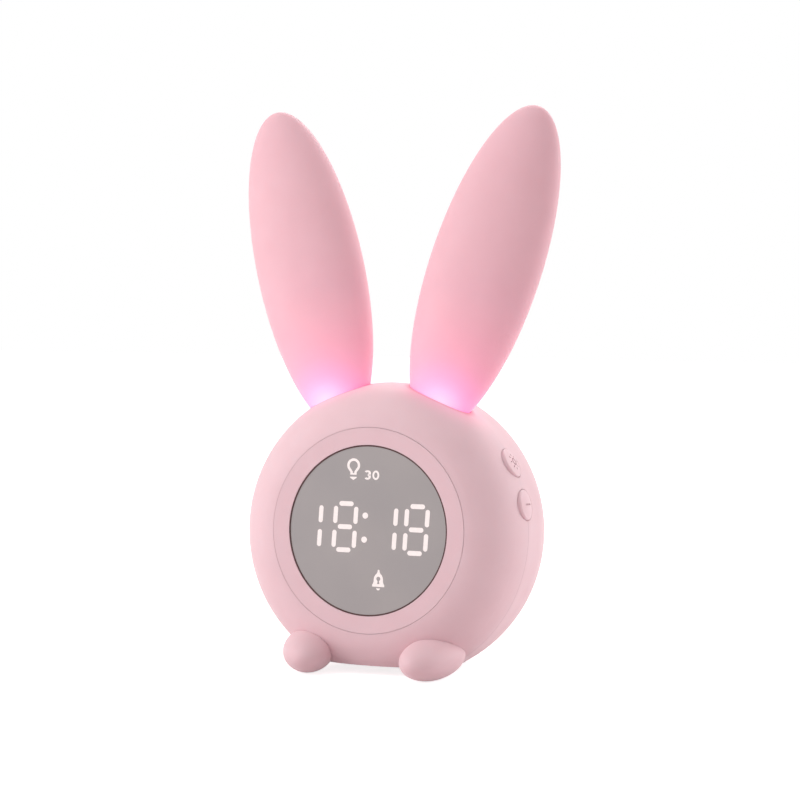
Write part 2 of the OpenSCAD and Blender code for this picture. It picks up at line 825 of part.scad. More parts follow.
module speaker_cone() color(black_plastic) in_stance() along_depth() rotate_extrude() polygon([
    [0, cone_root_y + dome_rise],
    [dome_r, cone_root_y],
    [cone_r - cone_bead_w, speaker_front - cone_bead_w],
    [cone_r, speaker_front - gap - cone_bead_h],
    [cone_r, speaker_front - gap],
    [cone_r - cone_bead_w, speaker_front - cone_bead_w + paper_t],
    [dome_r, cone_root_y + paper_t],
    [0, cone_root_y + dome_rise + paper_t]
]);

module speaker_magnet() color(metal) in_stance() along_depth()
    rod(magnet_r, basket_back - magnet_h, basket_back);

module at_speaker_screws() for (a = [90, 210, 330]) rotate([0, -a, 0])
    translate([speaker_screw_at, 0, 0]) along_depth() children();

module speaker_retainer() color(white_plastic) in_stance() difference() {
    union() {
        along_depth() rod(speaker_wall_r - gap, retainer_back, speaker_back);
        at_speaker_screws() rod(board_boss_r, retainer_back, speaker_back);
    }
    along_depth() rod(speaker_r - speaker_flange_w + gap, retainer_back - cut, speaker_back + cut);
    at_speaker_screws() rod(board_screw_r + gap, retainer_back - cut, speaker_back + cut);
}

module speaker_screws() color(metal) in_stance() at_speaker_screws() {
    rod(board_screw_r, retainer_back, speaker_screw_end);
    rod(board_screw_head_r, retainer_back - board_screw_head_h, retainer_back);
}

module speaker_seat() {
    along_depth() washer(speaker_r + gap, speaker_wall_r, speaker_back, back_y);
    along_depth() washer(speaker_r - speaker_flange_w, speaker_wall_r, speaker_front, back_y);
    at_speaker_screws() rod(board_boss_r, speaker_back, back_y);
}

tag_past_magnet = 5;
tag_back = 2.8;
lead_past_magnet = 7;
lead_bend_back = 7;
speaker_lead_z = 2;
speaker_lead = [
    [magnet_r + tag_past_magnet, speaker_back - tag_back, speaker_lead_z],
    [magnet_r + lead_past_magnet, speaker_back - lead_bend_back, speaker_lead_z],
    [magnet_r + lead_past_magnet, main_board_back + gap, speaker_lead_z]
];

module speaker_leads() color(gasket_brown) in_stance() lead(speaker_lead);

grille_hole_r = 1;
grille_pitch = 3.5;
grille_rings = 3;

module grille_hole(r) translate([r, 0, 0]) rod(grille_hole_r, back_y - wall - cut, back_y + cut);

module grille_holes() along_depth() {
    grille_hole(0);
    for (ring = [1 : grille_rings]) for (i = [1 : 6 * ring])
        rotate(60 * i / ring) grille_hole(ring * grille_pitch);
}

// ---- Charging socket -----------------------------------------------------------------------------------

charge_top = -31.5;
charge_t = 1.2;
charge_bottom = charge_top - charge_t;
charge_half_x = 9;
charge_l = 11;
charge_clear = 0.8;
charge_back = back_at(norm([charge_half_x, charge_bottom]), wall) - charge_clear;
charge_front = charge_back - charge_l;
charge_screw_x = 6.6;
charge_screw_inset = 2.6;
charge_screw_y = charge_front + charge_screw_inset;
charge_screw_l = 4;
usb_half = [4.4, 1.5];
usb_shell_t = 0.35;
usb_floor_t = 1;
usb_tongue_half = [3, 0.35];
usb_tongue_inset = 1;
usb_z = charge_top + usb_half[1];
usb_top = usb_z + usb_half[1];
usb_l = 7.4;
usb_mouth = back_at(-usb_z, wall / 2);
usb_front = usb_mouth - usb_l;
reset_x = 7.1;
reset_size = [3, 2.6, 3];
reset_z = charge_top + reset_size[2] / 2;
reset_nub_r = 0.7;
reset_nub_l = 0.8;
reset_inset = 1;
pinhole_r = 0.8;

module at_charge_screws() both_sides() translate([charge_screw_x, charge_screw_y, 0]) children();

module charge_board() color(board_green) in_stance() difference() {
    block([-charge_half_x, charge_front, charge_bottom], [charge_half_x, charge_back, charge_top]);
    at_charge_screws() rod(board_screw_r + gap, charge_bottom - cut, charge_top + cut);
}

module charge_board_screws() color(metal) in_stance() at_charge_screws() {
    rod(board_screw_r, charge_top - charge_screw_l, charge_top);
    rod(board_screw_head_r, charge_top, charge_top + board_screw_head_h);
}

module usb_socket() color(metal) in_stance() {
    difference() {
        block([-usb_half[0], usb_front, charge_top], [usb_half[0], usb_mouth, usb_top]);
        block(
            [usb_shell_t - usb_half[0], usb_front + usb_floor_t, charge_top + usb_shell_t],
            [usb_half[0] - usb_shell_t, usb_mouth + cut, usb_top - usb_shell_t]
        );
    }
    block(
        [-usb_tongue_half[0], usb_front + usb_floor_t / 2, usb_z - usb_tongue_half[1]],
        [usb_tongue_half[0], usb_mouth - usb_tongue_inset, usb_z + usb_tongue_half[1]]
    );
}

reset_front = charge_back - reset_size[1] - reset_inset;
reset_back = reset_front + reset_size[1];

module reset_switch() color(white_plastic) in_stance() translate([reset_x, 0, 0]) {
    block(
        [-reset_size[0] / 2, reset_front, charge_top],
        [reset_size[0] / 2, reset_back, charge_top + reset_size[2]]
    );
    translate([0, 0, reset_z]) along_depth() rod(reset_nub_r, reset_front + cut, reset_back + reset_nub_l);
}

charge_lead = [
    [2, charge_front + 2, charge_top + lead_r + gap],
    [2, charge_front - 1.7, charge_top + lead_r + gap],
    [2, charge_front - 1.7, main_board_low[1] + 2],
    [2, main_board_back + gap, main_board_low[1] + 2]
];

module charge_leads() color(gasket_brown) in_stance() lead(charge_lead);

charge_post_r = 2.2;

module charge_posts() at_charge_screws() rod(charge_post_r, -body_r, charge_bottom);

module charge_cuts() {
    block(
        [-usb_half[0] - gap, charge_back, charge_top - gap],
        [usb_half[0] + gap, back_y, usb_top + gap]
    );
    depth_rod(pinhole_r, reset_x, reset_z, reset_back, back_y);
    at_charge_screws()
        rod(board_screw_r + thread_gap, charge_top - charge_screw_l - thread_room, charge_bottom + cut);
}

// ---- Shells --------------------------------------------------------------------------------------------

module front_shell() color(pink) in_stance() difference() {
    in_front_half() union() {
        body_skin();
        inside_body() {
            face_seat();
            ear_socket();
            side_rails();
            foot_bosses();
            at_shell_screws() along_depth() rod(front_boss_r, face_y, seam_y);
        }
    }
    face_cuts();
    ear_cuts();
    button_cuts();
    foot_cuts();
    lip_room();
    at_shell_screws() along_depth()
        rod(shell_screw_r + thread_gap, seam_y - shell_screw_grip - thread_room, seam_y + cut);
}

module rear_shell() color(pink) in_stance() difference() {
    union() {
        in_rear_half() union() {
            body_skin();
            inside_body() {
                ear_socket();
                side_rails();
                speaker_seat();
                charge_posts();
                at_main_screws() rod(main_post_r, main_board_back, back_y);
                at_shell_screws() along_depth() rod(rear_boss_r, seam_y, back_y);
            }
        }
        lip();
    }
    ear_cuts();
    button_cuts();
    pad_pockets();
    grille_holes();
    charge_cuts();
    at_main_screws() rod(board_screw_r + thread_gap, main_board_back - cut, main_screw_end + thread_room);
    at_speaker_screws() rod(board_screw_r + thread_gap, speaker_back - cut, speaker_screw_end + thread_room);
    at_shell_screws() along_depth() {
        rod(shell_screw_r + 2 * gap, seam_y - cut, shell_screw_seat + cut);
        rod(shell_screw_head_r + gap, shell_screw_seat, back_y + cut);
    }
}

front_shell();
rear_shell();
face_ring();
display_lens();
lens_gasket();
diffuser_film();
light_mask();
display_board();
display_leds();
display_socket();
ribbon_cable();
main_socket();
main_board();
control_chips();
battery();
battery_tape();
left_ear();
right_ear();
left_ear_board();
right_ear_board();
left_ear_leds();
right_ear_leds();
left_ear_leads();
right_ear_leads();
light_button();
minus_button();
light_plunger();
minus_plunger();
switch_board();
button_switches();
switch_leads();
left_foot();
right_foot();
foot_screws();
rear_pads();
speaker_frame();
speaker_cone();
speaker_magnet();
speaker_retainer();
speaker_screws();
charge_board();
usb_socket();
reset_switch();
charge_board_screws();
shell_screws();
main_board_screws();
display_board_screws();
battery_leads();
speaker_leads();
charge_leads();
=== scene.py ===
"""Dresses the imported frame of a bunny-eared bedside clock: its finishes, the lit display, the
engraved buttons, the glow of the ears, the light, the floor and the camera. Sizes and places are in
millimetres, and the meshes are in metres."""
import math

import bmesh
import bpy
from mathutils import Matrix, Vector


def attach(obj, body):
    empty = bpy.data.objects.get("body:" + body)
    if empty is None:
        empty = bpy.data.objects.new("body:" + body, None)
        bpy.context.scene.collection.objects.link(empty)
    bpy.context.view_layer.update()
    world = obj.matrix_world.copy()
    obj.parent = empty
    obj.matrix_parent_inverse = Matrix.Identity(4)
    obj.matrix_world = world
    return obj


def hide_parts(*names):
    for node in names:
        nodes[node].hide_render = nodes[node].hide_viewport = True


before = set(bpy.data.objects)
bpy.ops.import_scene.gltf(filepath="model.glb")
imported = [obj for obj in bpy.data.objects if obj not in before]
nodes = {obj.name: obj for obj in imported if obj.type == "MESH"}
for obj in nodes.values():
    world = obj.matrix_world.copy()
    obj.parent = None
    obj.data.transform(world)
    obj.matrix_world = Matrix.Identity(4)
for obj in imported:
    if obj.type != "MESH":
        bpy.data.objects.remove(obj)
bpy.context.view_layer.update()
MM = 0.001


# ---- The clock's own axes: from the centre of its round body, +X right, +Y to the rear, +Z up ----

LEAN = math.radians(4.2)
BODY_CENTRE = Vector((0, -2.104, 48.6))
STANCE = (Matrix.Scale(MM, 4) @ Matrix.Translation(BODY_CENTRE)
          @ Matrix.Rotation(-LEAN, 4, "X"))

SEAM_Y = -8.1
FACE_Y = -27.5
FACE_RISE = 0.7
LENS_SUNK = 0.3
RING_R = 36

# The right ear's axes start in its foot, with +Z along the ear. The left ear mirrors it.
EAR_FOOT = Vector((19.5, -10.1, 46.58))
EAR_TURN = (math.radians(-3.2), math.radians(16.75), 0)
EAR_HALF = Vector((20.6, 10.6, 60))
EAR_MID = 49.2

# Turns a sketch's X, Y and Z into the face's right, up and forward
FACE = (STANCE @ Matrix.Translation((0, FACE_Y + LENS_SUNK, FACE_RISE))
        @ Matrix.Rotation(math.pi / 2, 4, "X"))


# ---- Short calls for nodes and objects -----------------------------------------------------------

WHITE = (1, 1, 1, 1)
NOISE_LOW = 0.3
NOISE_HIGH = 0.7
GRAIN_DEPTH = 0.05


def srgb(code):
    """A linear colour from six hexadecimal digits."""
    parts = [int(code[i:i + 2], 16) / 255 for i in (0, 2, 4)]
    return tuple(c / 12.92 if c <= 0.04045 else ((c + 0.055) / 1.055) ** 2.4 for c in parts) + (1,)


def add_object(name, data):
    item = bpy.data.objects.new(name, data)
    bpy.context.scene.collection.objects.link(item)
    return item


def set_material(mesh, material):
    mesh.materials.clear()
    mesh.materials.append(material)


def feed(tree, socket, value):
    """Gives a socket its value, or a link where the value is another node's output."""
    if isinstance(value, bpy.types.NodeSocket):
        tree.links.new(value, socket)
    else:
        socket.default_value = value


def add_node(tree, kind, feeds=(), **settings):
    node = tree.nodes.new("ShaderNode" + kind)
    for name, value in settings.items():
        setattr(node, name, value)
    for key, value in dict(feeds).items():
        feed(tree, node.inputs[key], value)
    return node


class Recipe:
    """A material's node tree, with short calls for the nodes that the finishes share."""

    def __init__(self, name, **settings):
        self.material = bpy.data.materials.new(name)
        self.material.use_nodes = True
        self.tree = self.material.node_tree
        self.shader = self.tree.nodes["Principled BSDF"]
        self.set(**settings)

    def set(self, **settings):
        """Feeds the shader's sockets, whose names are written here with underscores."""
        for name, value in settings.items():
            feed(self.tree, self.shader.inputs[name.replace("_", " ")], value)

    def add(self, kind, feeds=(), **settings):
        return add_node(self.tree, kind, feeds, **settings)

    def math(self, operation, a, b=0.0):
        return self.add("Math", {0: a, 1: b}, operation=operation).outputs[0]

    def vector_math(self, operation, a, b):
        return self.add("VectorMath", {0: a, 1: b}, operation=operation).outputs[0]

    def length(self, vector):
        return self.add("VectorMath", {0: vector}, operation="LENGTH").outputs["Value"]

    def split(self, vector):
        return self.add("SeparateXYZ", {0: vector}).outputs

    def join(self, x, y, z):
        return self.add("CombineXYZ", {0: x, 1: y, 2: z}).outputs[0]

    def object_place(self):
        return self.add("TexCoord").outputs["Object"]

    def place_along(self, place, location, rotation, scale=(1, 1, 1)):
        """A place along other axes, by where they start and how they are turned and scaled."""
        feeds = {"Vector": place, "Location": location, "Rotation": rotation, "Scale": scale}
        return self.add("Mapping", feeds, vector_type="TEXTURE").outputs[0]

    def body_place(self):
        """A point's place along the clock's own axes, in millimetres."""
        return self.place_along(self.object_place(), BODY_CENTRE * MM, (-LEAN, 0, 0), (MM, MM, MM))

    def ear_place(self):
        """A point's place along the nearer ear's axes, in millimetres, the same for both ears."""
        parts = self.split(self.body_place())
        point = self.join(self.math("ABSOLUTE", parts[0]), parts[1], parts[2])
        return self.place_along(point, EAR_FOOT, EAR_TURN)

    def noise(self, size_mm, detail=2.0):
        feeds = {"Vector": self.object_place(), "Scale": 1 / (size_mm * MM), "Detail": detail}
        return self.add("TexNoise", feeds).outputs["Fac"]

    def span(self, value, low, high, to_low, to_high):
        """The value carried from one span to another, and held at its ends."""
        feeds = {0: value, 1: low, 2: high, 3: to_low, 4: to_high}
        return self.add("MapRange", feeds, interpolation_type="SMOOTHSTEP").outputs[0]

    def ramp(self, value, stops):
        node = self.add("ValToRGB", {0: value})
        ramp = node.color_ramp
        for place, colour in stops[1:-1]:
            ramp.elements.new(place).color = colour
        ends = zip((ramp.elements[0], ramp.elements[-1]), (stops[0], stops[-1]))
        for element, (place, colour) in ends:
            element.position = place
            element.color = colour
        return node.outputs[0]

    def tones(self, value, codes, low=NOISE_LOW, high=NOISE_HIGH):
        """A blend of two colours by a value, with the first colour up to low."""
        return self.ramp(value, [(low, srgb(codes[0])), (high, srgb(codes[1]))])

    def mix(self, share, a, b):
        node = self.add("Mix", data_type="RGBA", blend_type="MIX")
        feed(self.tree, node.inputs["Factor"], share)
        feed(self.tree, node.inputs[6], a)
        feed(self.tree, node.inputs[7], b)
        return node.outputs[2]

    def vary_roughness(self, size_mm, low, high):
        """Roughness that wanders between two values over patches of a size."""
        self.set(Roughness=self.span(self.noise(size_mm), NOISE_LOW, NOISE_HIGH, low, high))

    def bump(self, height, strength, depth_mm=GRAIN_DEPTH):
        feeds = {"Height": height, "Strength": strength, "Distance": depth_mm * MM}
        self.set(Normal=self.add("Bump", feeds).outputs[0])


# ---- Finishes of the outside ---------------------------------------------------------------------

PINK = ("E7C2C8", "EAC6CC")
FOOT_PINK = ("E7C1C7", "EAC5CB")
EAR_PINK = ("EBB5BE", "EEB9C2")
EAR_PAINTED_GLOW = "F0ACBC"
LENS_GREY = ("A29C9C", "A8A1A0")
LIT_BASE = "C8BEBC"
LIT_GLOW = ((0.40, 0.37, 0.36, 1), (0.47, 0.43, 0.42, 1))

# The size in millimetres of a finish's patches of colour and of its grain
SHELL_MOTTLE = 14
EAR_MOTTLE = 16
LENS_CLOUD = 24
LIT_CLOUD = 0.9
LENS_GRAIN = 0.12
SOFT_GRAIN = 0.3
SOFT_GRAIN_STRENGTH = 0.1

# A joint line fades out over its reach to each side
JOINT_PINK = "B8868E"
JOINT_REACH = 0.32
JOINT_TINT = 0.42
JOINT_DEPTH = 2.0
# How the seam fades up the body, and the ring's line to the right: two places and the values there
SEAM_FADE = (2, 12, 1, 0.15)
RING_FADE = (-30, 20, 0.8, 0.1)
RING_ZONE = 1

# Round an ear's foot the body has painted shade in the crease where they touch, and a painted glow
# of the ear's light beyond that
CREASE_SHADE_PINK = "DE929E"
CREASE_SHADE_REACH = 1.0
CREASE_SHADE_TINT = 0.8
PAINTED_SPILL_COLOUR = (1, 0.05, 0.28, 1)
PAINTED_SPILL_STRENGTH = 0.13
PAINTED_SPILL_FADE = (0.3, 6.5, 1, 0)

# Light that an ear gives off, by the distance in millimetres from the bright spots at its foot
GLOW_PLACE = (2.3, 4.4, -2.2)
GLOW_END = 78
GLOW = [
    (0, (0.36, 0.52, 0.64)),
    (5.6, (0.37, 0.27, 0.53)),
    (9, (0.38, 0.135, 0.39)),
    (11.5, (0.37, 0.08, 0.29)),
    (14.8, (0.31, 0.052, 0.20)),
    (17.7, (0.265, 0.038, 0.13)),
    (22.4, (0.205, 0.028, 0.082)),
    (28.5, (0.145, 0.019, 0.057)),
    (34.3, (0.105, 0.012, 0.038)),
    (43, (0.05, 0.006, 0.025)),
    (55, (0.022, 0.006, 0.013)),
    (66, (0.01, 0.004, 0.007)),
    (GLOW_END, (0, 0, 0)),
]
# The share of the painted glow colour in an ear's base colour, by that distance as a share of
# GLOW_END
PAINTED_GLOW_FADE = (0.1, 0.55, 0.5, 0)


def grained(name, codes, rough, grain_mm=0.35, grain_strength=0.12, mottle_mm=9, **settings):
    """A moulded plastic, rubber or metal, with fine grain and a faint mottle of two colours."""
    recipe = Recipe(name, **settings)
    recipe.set(Base_Color=recipe.tones(recipe.noise(mottle_mm, detail=3), codes))
    recipe.vary_roughness(mottle_mm / 3, *rough)
    recipe.bump(recipe.noise(grain_mm), grain_strength)
    return recipe.material


def hairline(recipe, distance, reach=JOINT_REACH):
    """1 on a thin line and 0 beside it."""
    return recipe.span(recipe.math("ABSOLUTE", distance), 0, reach, 1, 0)


def joint_lines(recipe):
    """1 on the casing's seam and on the joint of the ring round the display, and 0 beside them."""
    x, y, z = recipe.split(recipe.body_place())
    seam = hairline(recipe, recipe.math("SUBTRACT", y, SEAM_Y))
    seam = recipe.math("MULTIPLY", seam, recipe.span(z, *SEAM_FADE))
    from_middle = recipe.length(recipe.join(x, recipe.math("SUBTRACT", z, FACE_RISE), 0.0))
    ring = hairline(recipe, recipe.math("SUBTRACT", from_middle, RING_R))
    ring = recipe.math("MULTIPLY", ring, recipe.span(x, *RING_FADE))
    front = recipe.math("LESS_THAN", y, FACE_Y + RING_ZONE)
    return recipe.math("MAXIMUM", seam, recipe.math("MULTIPLY", ring, front))


def ear_nearness(recipe):
    """Two values that are 1 against an ear's wall: the painted glow fades out slowly, the painted
    crease shade is a thin line.
    """
    place = recipe.vector_math("SUBTRACT", recipe.ear_place(), (0, 0, EAR_MID))
    scaled = recipe.vector_math("MULTIPLY", place, [1 / half for half in EAR_HALF])
    proud = recipe.math("SUBTRACT", recipe.length(scaled), 1)
    proud = recipe.math("MULTIPLY", proud, EAR_HALF[1])
    near = recipe.span(proud, *PAINTED_SPILL_FADE)
    return recipe.math("MULTIPLY", near, near), hairline(recipe, proud, CREASE_SHADE_REACH)


def soft_touch(name, codes, is_casing=False):
    """The matte pink plastic of the casing, the ring, the buttons and the feet."""
    recipe = Recipe(name, Specular_IOR_Level=0.35, Sheen_Weight=0.12, Sheen_Roughness=0.6,
                    Subsurface_Weight=0.12, Subsurface_Scale=0.004,
                    Subsurface_Radius=(1.0, 0.45, 0.4))
    colour = recipe.tones(recipe.noise(SHELL_MOTTLE, detail=3), codes)
    height = recipe.noise(SOFT_GRAIN)
    if is_casing:
        line = joint_lines(recipe)
        share = recipe.math("MULTIPLY", line, JOINT_TINT)
        colour = recipe.mix(share, colour, srgb(JOINT_PINK))
        height = recipe.math("SUBTRACT", height, recipe.math("MULTIPLY", line, JOINT_DEPTH))
        # Painted shade in the crease round each ear's foot, and a painted glow of the ear's light
        # on the casing beyond it
        painted_spill, crease_shade = ear_nearness(recipe)
        share = recipe.math("MULTIPLY", crease_shade, CREASE_SHADE_TINT)
        colour = recipe.mix(share, colour, srgb(CREASE_SHADE_PINK))
        strength = recipe.math("MULTIPLY", painted_spill, PAINTED_SPILL_STRENGTH)
        recipe.set(Emission_Color=PAINTED_SPILL_COLOUR, Emission_Strength=strength)
    recipe.set(Base_Color=colour)
    recipe.vary_roughness(size_mm=5, low=0.5, high=0.58)
    recipe.bump(height, SOFT_GRAIN_STRENGTH)
    return recipe.material


def ear_silicone():
    """The ears' translucent silicone, lit from within near the foot."""
    recipe = Recipe("ear_silicone", Specular_IOR_Level=0.35, Sheen_Weight=0.15,
                    Sheen_Roughness=0.6, Subsurface_Weight=0.15, Subsurface_Scale=0.006,
                    Subsurface_Radius=(1.0, 0.4, 0.4), Emission_Strength=1)
    x, y, z = recipe.split(recipe.ear_place())
    point = recipe.join(x, recipe.math("ABSOLUTE", y), z)
    distance = recipe.length(recipe.vector_math("SUBTRACT", point, GLOW_PLACE))
    away = recipe.math("DIVIDE", distance, GLOW_END)
    stops = [(place / GLOW_END, colour + (1,)) for place, colour in GLOW]
    recipe.set(Emission_Color=recipe.ramp(away, stops))
    colour = recipe.tones(recipe.noise(EAR_MOTTLE, detail=3), EAR_PINK)
    # Painted glow: the base colour turns a deeper pink near the lit foot
    painted_glow = recipe.span(away, *PAINTED_GLOW_FADE)
    recipe.set(Base_Color=recipe.mix(painted_glow, colour, srgb(EAR_PAINTED_GLOW)))
    recipe.vary_roughness(size_mm=6, low=0.5, high=0.6)
    recipe.bump(recipe.noise(SOFT_GRAIN), SOFT_GRAIN_STRENGTH)
    return recipe.material


def lens_plastic():
    """The smoked disc over the display, as grey as it looks with the pale diffuser behind it."""
    recipe = Recipe("smoked_lens", Coat_Weight=0.25, Coat_Roughness=0.25, Specular_IOR_Level=0.4)
    recipe.set(Base_Color=recipe.tones(recipe.noise(LENS_CLOUD, detail=1), LENS_GREY))
    recipe.vary_roughness(size_mm=3, low=0.42, high=0.5)
    recipe.bump(recipe.noise(LENS_GRAIN, detail=1), strength=0.05, depth_mm=0.02)
    return recipe.material


def lit_ink():
    """The parts of the display that are lit."""
    recipe = Recipe("lit_sign", Base_Color=srgb(LIT_BASE), Roughness=0.6, Emission_Strength=1)
    stops = list(zip((0.2, 0.8), LIT_GLOW))
    recipe.set(Emission_Color=recipe.ramp(recipe.noise(LIT_CLOUD, detail=1), stops))
    return recipe.material


button_pink = soft_touch("button_pink", PINK)
groove_pink = grained("groove_pink", ("C79CA3", "CEA4AB"), (0.6, 0.7))
lit = lit_ink()

OUTER = [
    (soft_touch("shell_pink", PINK, is_casing=True), ["front_shell", "rear_shell", "face_ring"]),
    (soft_touch("foot_pink", FOOT_PINK), ["left_foot", "right_foot"]),
    (ear_silicone(), ["left_ear", "right_ear"]),
    (lens_plastic(), ["display_lens"]),
    (grained("gasket_rubber", ("4A2F30", "573A3A"), (0.6, 0.8)), ["lens_gasket"]),
    (grained("pad_rubber", ("6E6A6B", "7A7677"), (0.75, 0.9), grain_strength=0.4), ["rear_pads"]),
]


# ---- Finishes of the inside ----------------------------------------------------------------------

BOARD_GREEN = ("1F5B36", "27693F")
TRACK_PITCH = 1.8
TRACK_EDGE = (0.45, 0.5, 0, 1)
FOIL_GREY = ("B4B6BA", "CFD1D4")
CREASE_SCALE = 180.0
RIBBON_TONES = ("C98E3C", "ECE6DA")
RIBBON_SCALE = 180.0


def board_mask():
    """A circuit board's green mask, with its copper tracks faintly raised under it."""
    recipe = Recipe("board_mask", Coat_Weight=0.4, Coat_Roughness=0.2, Roughness=0.45)
    feeds = {"Vector": recipe.object_place(), "Scale": 1 / (TRACK_PITCH * MM)}
    cells = recipe.add("TexVoronoi", feeds, distance="MANHATTAN", feature="F1")
    tracks = recipe.span(cells.outputs["Distance"], *TRACK_EDGE)
    recipe.set(Base_Color=recipe.mix(tracks, srgb(BOARD_GREEN[0]), srgb(BOARD_GREEN[1])))
    recipe.bump(tracks, strength=0.3, depth_mm=0.04)
    return recipe.material


def wrapped_foil():
    """The battery's aluminium pouch, with its creases."""
    recipe = Recipe("battery_foil", Metallic=1.0, Roughness=0.35)
    feeds = {"Vector": recipe.object_place(), "Scale": CREASE_SCALE, "Distortion": 1.5}
    crease = recipe.add("TexNoise", feeds).outputs["Fac"]
    recipe.set(Base_Color=recipe.tones(crease, FOIL_GREY, low=0.35, high=0.65))
    recipe.bump(crease, strength=0.35, depth_mm=0.3)
    return recipe.material


def ribbon_film():
    """A flat cable, with its tracks as fine lines."""
    recipe = Recipe("ribbon_film", Roughness=0.4)
    feeds = {"Vector": recipe.object_place(), "Scale": RIBBON_SCALE}
    wave = recipe.add("TexWave", feeds, bands_direction="X").outputs["Fac"]
    recipe.set(Base_Color=recipe.tones(wave, RIBBON_TONES, low=0.3, high=0.6))
    recipe.bump(wave, strength=0.2)
    return recipe.material


def metal(name, codes, rough, mottle_mm):
    return grained(name, codes, rough, mottle_mm=mottle_mm, Metallic=1.0)


INNER = [
    (board_mask(), ["display_board", "main_board", "switch_board", "charge_board"]),
    (grained("white_board", ("E4E3DF", "EDECE8"), (0.35, 0.5)),
     ["left_ear_board", "right_ear_board"]),
    (grained("diffuser_film", ("E9E9E6", "F2F2EF"), (0.5, 0.6), grain_mm=0.1, grain_strength=0.05),
     ["diffuser_film"]),
    (grained("black_plastic", ("17171A", "202024"), (0.4, 0.55)),
     ["light_mask", "control_chips", "light_plunger", "minus_plunger"]),
    (grained("cone_paper", ("1B1B1C", "2B2A2A"), (0.8, 0.95), grain_mm=0.5, grain_strength=0.6,
             mottle_mm=3), ["speaker_cone"]),
    (grained("white_plastic", ("DEDEDB", "E8E8E5"), (0.4, 0.5)),
     ["display_socket", "main_socket", "speaker_retainer", "reset_switch"]),
    (grained("lamp_resin", ("E8D9A8", "F0E4BC"), (0.2, 0.3), grain_mm=0.2, grain_strength=0.05,
             mottle_mm=1), ["display_leds", "left_ear_leds", "right_ear_leds"]),
    (ribbon_film(), ["ribbon_cable"]),
    (wrapped_foil(), ["battery"]),
    (grained("foam_tape", ("D8D4CC", "E2DED6"), (0.8, 0.9), grain_mm=0.6, grain_strength=0.5),
     ["battery_tape"]),
    (grained("lead_sleeve", ("7E1F1B", "97302A"), (0.35, 0.45), grain_mm=0.3, grain_strength=0.05,
             mottle_mm=4), ["left_ear_leads", "right_ear_leads", "switch_leads", "battery_leads",
                            "speaker_leads", "charge_leads"]),
    (metal("switch_steel", ("B9BBBF", "C9CBCF"), (0.3, 0.4), mottle_mm=2), ["button_switches"]),
    (metal("speaker_steel", ("8C8E92", "A3A5A9"), (0.35, 0.5), mottle_mm=3),
     ["speaker_frame", "speaker_magnet"]),
    (metal("screw_steel", ("A9ABAF", "C2C4C8"), (0.25, 0.4), mottle_mm=2),
     ["shell_screws", "foot_screws", "speaker_screws", "charge_board_screws",
      "main_board_screws", "display_board_screws", "usb_socket"]),
]

for material, names in OUTER + INNER:
    for name in names:
        set_material(nodes[name].data, material)


# ---- Outlines and pieces -------------------------------------------------------------------------

ARC_STEPS = 10
DISC_STEPS = 30


def arc(x, y, r, start, end, steps=ARC_STEPS):
    """Points on an arc, with its angles in degrees."""
    angles = [math.radians(start + (end - start) * i / steps) for i in range(steps + 1)]
    return [(x + r * math.cos(a), y + r * math.sin(a)) for a in angles]


def disc(x, y, r):
    return arc(x, y, r, 0, 360, DISC_STEPS)[:-1]


def bar(x, y, length, width, turn):
    """The outline of a bar with round ends, turned by an angle in radians."""
    reach = (length - width) / 2
    outline = arc(reach, 0, width / 2, -90, 90) + arc(-reach, 0, width / 2, 90, 270)
    c, s = math.cos(turn), math.sin(turn)
    return [(x + px * c - py * s, y + px * s + py * c) for px, py in outline]


def mirrored(half):
    """A closed outline from its right half, listed from the top down."""
    return half + [(-x, y) for x, y in reversed(half)]


def moved(outline, x, y, scale=1):
    return [(x + scale * px, y + scale * py) for px, py in outline]


def baked(item):
    """The mesh of an object with its modifiers applied, and the object itself removed."""
    bpy.context.view_layer.update()
    evaluated = item.evaluated_get(bpy.context.evaluated_depsgraph_get())
    mesh = bpy.data.meshes.new_from_object(evaluated)
    bpy.data.objects.remove(item)
    return mesh


def prism(name, outlines, thickness):
    """A flat mesh about its sketch's plane. An outline inside another one is a hole."""
    curve = bpy.data.curves.new(name, "CURVE")
    curve.dimensions = "2D"
    curve.fill_mode = "BOTH"
    curve.extrude = thickness / 2
    for outline in outlines:
        spline = curve.splines.new("POLY")
        spline.points.add(len(outline) - 1)
        for point, (x, y) in zip(spline.points, outline):
            point.co = (x, y, 0, 1)
        spline.use_cyclic_u = True
    return baked(add_object(name + "_outline", curve))


def add_piece(name, mesh, body):
    mesh.name = name
    piece = add_object(name, mesh)
    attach(piece, body)
    return piece


# ---- Lit signs of the display --------------------------------------------------------------------

SIGN_T = 0.05

DIGIT_H = 16.2
DIGIT_W = 7.7
DIGIT_RISE = 1
DIGIT_SLANT = math.radians(2.6)
UPRIGHT_W = 1.62
UPRIGHT_L = 6.05
UPRIGHT_Z = (4.13, -4.27)
LEVEL_W = 1.68
LEVEL_L = 5.45
HOURS_X = (-17.95, -8.5)
MINUTES_X = (10.45, 18.35)
COLON_X = -1
COLON_Z = (5.2, -3.2)
COLON_R = 1.08

FIGURE_H = 3.3
FIGURE_W = 2.6
FIGURE_T = 0.67
FIGURE_STEPS = 12
THREE_AT = (-0.45, 19.4)
NOUGHT_AT = (2.7, 19.4)
BULB_AT = (-5.8, 22.6)
BELL_AT = (4.72, -19.38)
BELL_SCALE = 0.915


def leaning(x, z):
    """A place on a digit, which leans to the right."""
    return x + z * math.tan(DIGIT_SLANT), z + DIGIT_RISE


def upright(x, z):
    return bar(*leaning(x, z), UPRIGHT_L, UPRIGHT_W, math.pi / 2 - DIGIT_SLANT)


def level(x, z):
    return bar(*leaning(x, z), LEVEL_L, LEVEL_W, 0)


def digit_one(x):
    return [upright(x, z) for z in UPRIGHT_Z]


